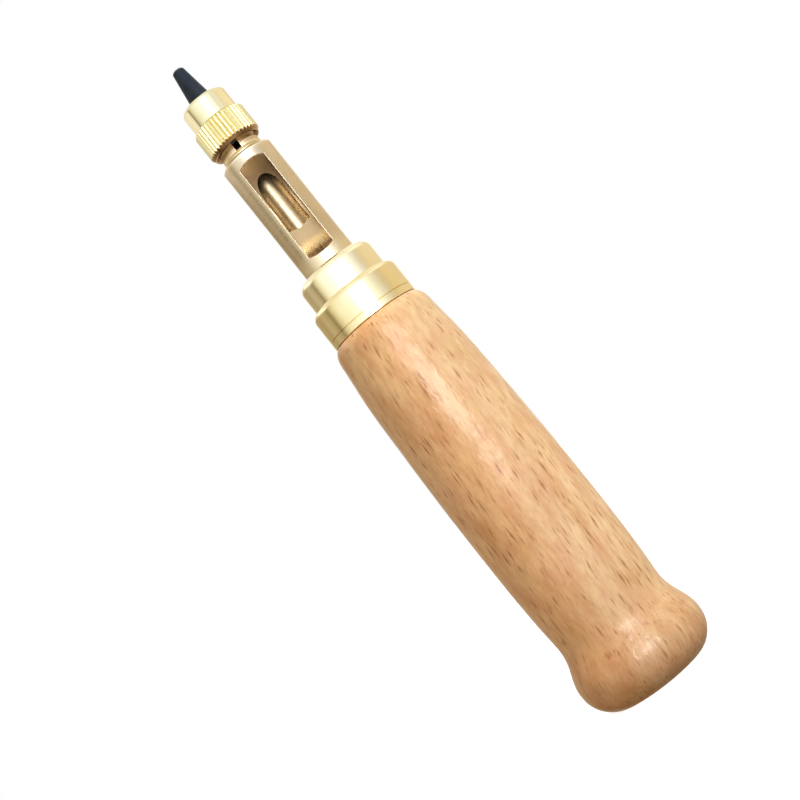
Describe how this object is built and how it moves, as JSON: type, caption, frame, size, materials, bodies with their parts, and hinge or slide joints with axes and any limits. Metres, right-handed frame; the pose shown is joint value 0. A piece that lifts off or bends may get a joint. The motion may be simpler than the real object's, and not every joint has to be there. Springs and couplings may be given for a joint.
{
  "type": "automatic screw punch",
  "caption": "Push-type rotary leather punch: turned wooden handle, brass ferrule and collar, sliding and turning brass chip shaft with a window, knurled chuck nut and hollow steel tip.",
  "frame": {"origin": "centre of the flat butt face of the wooden handle", "axes": "+Z along the tool's axis to the cutting tip, -Y towards the side where the chip window opens"},
  "size_m": [0.0281, 0.0282, 0.1494],
  "materials": {
    "beech": "varnished",
    "polished_brass": "polished",
    "satin_brass": "satin",
    "bronze": "machined",
    "steel": "machined",
    "black_steel": "black oxide",
    "rubber": "matte",
    "fibre": "matte"
  },
  "bodies": {
    "handle": {"wooden_handle": "beech", "ferrule": "polished_brass", "front_collar": "polished_brass", "guide_bush": "bronze", "stop_washer": "fibre", "housing_tube": "steel", "drive_nut": "steel", "drive_nut_pins": "steel", "spring_base_washer": "steel", "tube_end_plug": "steel", "stroke_buffer": "rubber", "return_spring": "steel"},
    "plunger": {"spring_seat": "steel", "thrust_washer": "bronze"},
    "spindle": {"chip_shaft": "satin_brass", "shaft_snap_ring": "steel", "spiral_spindle": "steel", "spindle_pin": "steel"},
    "tip": {"punch_tip": "black_steel"},
    "nut": {"chuck_nut": "polished_brass"}
  },
  "joints": [
    {"name": "plunge", "type": "slide", "parent": "handle", "child": "plunger", "axis": [0, 0, -1], "range_m": [0, 0.018], "stiffness_N_per_m": 650, "springref_m": -0.012, "deforming": ["return_spring"]},
    {"name": "spin", "type": "hinge", "parent": "plunger", "child": "spindle", "pos_m": [0, 0, 0], "axis": [0, 0, 1], "range_deg": [0, 181]},
    {"name": "tip_lift", "type": "slide", "parent": "spindle", "child": "tip", "axis": [0, 0, 1], "range_m": [0, 0.009]},
    {"name": "chuck_nut_turn", "type": "hinge", "parent": "tip", "child": "nut", "pos_m": [0, 0, 0], "axis": [0, 0, 1], "range_deg": [0, 2161]}
  ],
  "couplings": [
    {"joint": "spin", "follows": "plunge", "rad_per_m": 174.53},
    {"joint": "chuck_nut_turn", "follows": "tip_lift", "rad_per_m": 4188.8}
  ]
}
